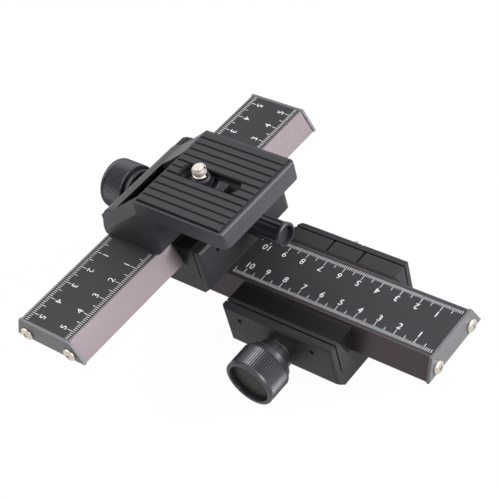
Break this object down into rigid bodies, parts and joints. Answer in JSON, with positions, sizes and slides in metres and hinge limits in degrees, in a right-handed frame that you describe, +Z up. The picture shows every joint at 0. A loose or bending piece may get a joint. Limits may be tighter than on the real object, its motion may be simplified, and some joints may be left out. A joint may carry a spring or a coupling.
{
  "type": "macro focusing rail",
  "caption": "Cross macro focusing rail: crossed dovetail rails on rack-and-pinion carriages with knurled knobs, locks and a ribbed camera platform.",
  "frame": {"origin": "mouth of the tripod thread, in the middle under the lower carriage's foot", "axes": "+Z up out of the pad; X along the lower rail, +X towards its front end cap; +Y towards the far side, along the upper rail, away from the lower drive knob"},
  "size_m": [0.1831, 0.1646, 0.096],
  "materials": {
    "cast_black": "satin black paint on die-cast aluminium",
    "gib_black": "dull black",
    "slide_plastic": "dull grey acetal",
    "bright_steel": "bright nickel plating",
    "dark_steel": "black oxide",
    "brass": "machined",
    "anodised_black": "black anodised, turned",
    "knob_disc": "grey-brown anodised, matt",
    "anodised_rail": "grey anodised, drawn",
    "scale_strip": "matt black anodised with engraved white marks",
    "cap_plate": "grey anodised",
    "pad_rubber": "matt ribbed rubber"
  },
  "bodies": {
    "carriage_lower": {"lower_block": "cast_black", "lower_foot": "cast_black", "lower_foot_screws": "bright_steel", "lower_gib": "gib_black", "lower_slide_strips": "slide_plastic", "lower_gib_screws": "dark_steel", "lower_bush": "bright_steel", "lower_lock_collar": "bright_steel"},
    "drive_lower": {"lower_shaft": "bright_steel", "lower_pinion": "brass", "lower_knob": "anodised_black", "lower_knob_disc": "knob_disc", "lower_knob_grub": "dark_steel"},
    "lock_lower": {"lower_lock_screw": "dark_steel"},
    "rail_lower": {"lower_rail": "anodised_rail", "lower_scale": "scale_strip", "lower_rack": "brass", "lower_cap_front": "cap_plate", "lower_cap_rear": "cap_plate", "lower_cap_screws": "bright_steel", "upper_block": "cast_black", "upper_foot": "cast_black", "upper_foot_screws": "bright_steel", "upper_gib": "gib_black", "upper_slide_strips": "slide_plastic", "upper_gib_screws": "dark_steel", "upper_bush": "bright_steel", "upper_lock_collar": "bright_steel"},
    "drive_upper": {"upper_shaft": "bright_steel", "upper_pinion": "brass", "upper_knob": "anodised_black", "upper_knob_disc": "knob_disc", "upper_knob_grub": "dark_steel"},
    "lock_upper": {"upper_lock_stud": "bright_steel", "upper_lock_knob": "anodised_black"},
    "rail_upper": {"upper_rail": "anodised_rail", "upper_scale": "scale_strip", "upper_rack": "brass", "upper_cap_near": "cap_plate", "upper_cap_far": "cap_plate", "upper_cap_screws": "bright_steel", "platform": "cast_black", "platform_bolts": "dark_steel", "pad": "pad_rubber"},
    "carrier": {"screw_carrier": "anodised_black", "carrier_clip": "bright_steel"},
    "camera_screw": {"camera_screw": "bright_steel", "screw_wheel": "anodised_black"}
  },
  "joints": [
    {"name": "lower_travel", "type": "slide", "parent": "carriage_lower", "child": "rail_lower", "axis": [1, 0, 0], "range_m": [-0.0376, 0.0609]},
    {"name": "lower_drive", "type": "hinge", "parent": "carriage_lower", "child": "drive_lower", "pos_m": [0, 0, 0.0159], "axis": [0, 1, 0], "range_deg": [-415.5, 672]},
    {"name": "lower_lock", "type": "hinge", "parent": "carriage_lower", "child": "lock_lower", "pos_m": [0.0018, 0.03, 0.0245], "axis": [0, 1, 0], "range_deg": [-180, 20]},
    {"name": "upper_travel", "type": "slide", "parent": "rail_lower", "child": "rail_upper", "axis": [0, 1, 0], "range_m": [-0.0354, 0.0631]},
    {"name": "upper_drive", "type": "hinge", "parent": "rail_lower", "child": "drive_upper", "pos_m": [-0.062, -0.0018, 0.0466], "axis": [1, 0, 0], "range_deg": [-696.5, 391.5]},
    {"name": "upper_lock", "type": "hinge", "parent": "rail_lower", "child": "lock_upper", "pos_m": [-0.03, -0.0018, 0.0552], "axis": [1, 0, 0], "range_deg": [-180, 20]},
    {"name": "screw_travel", "type": "slide", "parent": "rail_upper", "child": "carrier", "axis": [1, 0, 0], "range_m": [-0.0004, 0.0165]},
    {"name": "screw_turn", "type": "hinge", "parent": "carrier", "child": "camera_screw", "pos_m": [-0.0343, -0.0158, 0.08], "axis": [0, 0, 1], "continuous": true}
  ],
  "couplings": [
    {"joint": "lower_drive", "follows": "lower_travel", "rad_per_m": 192.31},
    {"joint": "upper_drive", "follows": "upper_travel", "rad_per_m": -192.31}
  ]
}
